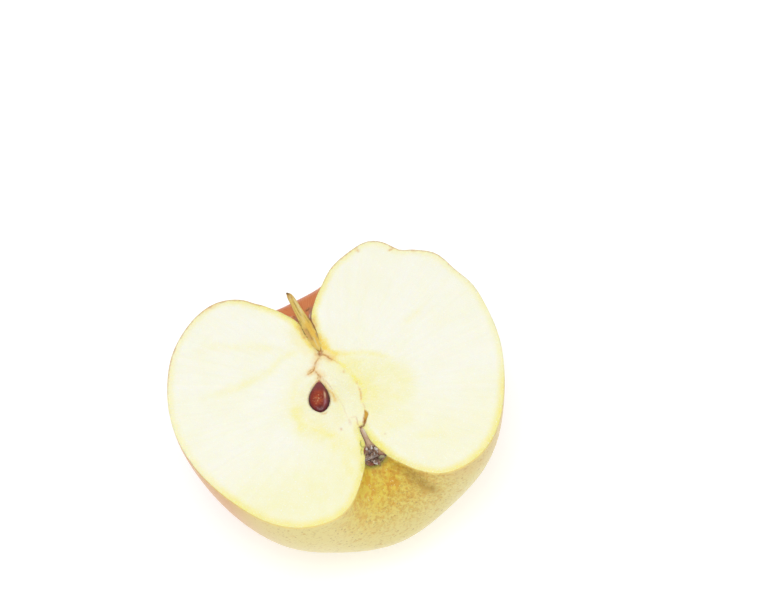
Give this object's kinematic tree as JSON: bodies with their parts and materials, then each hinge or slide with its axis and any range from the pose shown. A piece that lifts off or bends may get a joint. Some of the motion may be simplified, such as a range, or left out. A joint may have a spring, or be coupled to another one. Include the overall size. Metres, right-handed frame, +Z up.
{
  "type": "apple half",
  "caption": "Half of a ripe apple cut through the core, lying on its round back with the pale cut face up, its seed, split stem and dried flower eye in place.",
  "frame": {"origin": "middle of the base of the bounding box, on the surface that the half rests on", "axes": "+Z straight up out of the level cut face, +Y along the apple's axis towards the stem, +X to the right across the cut face"},
  "size_m": [0.0854, 0.0726, 0.0432],
  "materials": {
    "apple_flesh": "moist cream flesh under a thin red-blushed yellow skin",
    "stem": "split woody fibre, dry",
    "seed": "glossy red-brown seed coat",
    "calyx": "dry, papery, grey-brown"
  },
  "bodies": {
    "root": {"apple_flesh": "apple_flesh", "stem": "stem", "seed": "seed", "calyx": "calyx"}
  },
  "joints": []
}
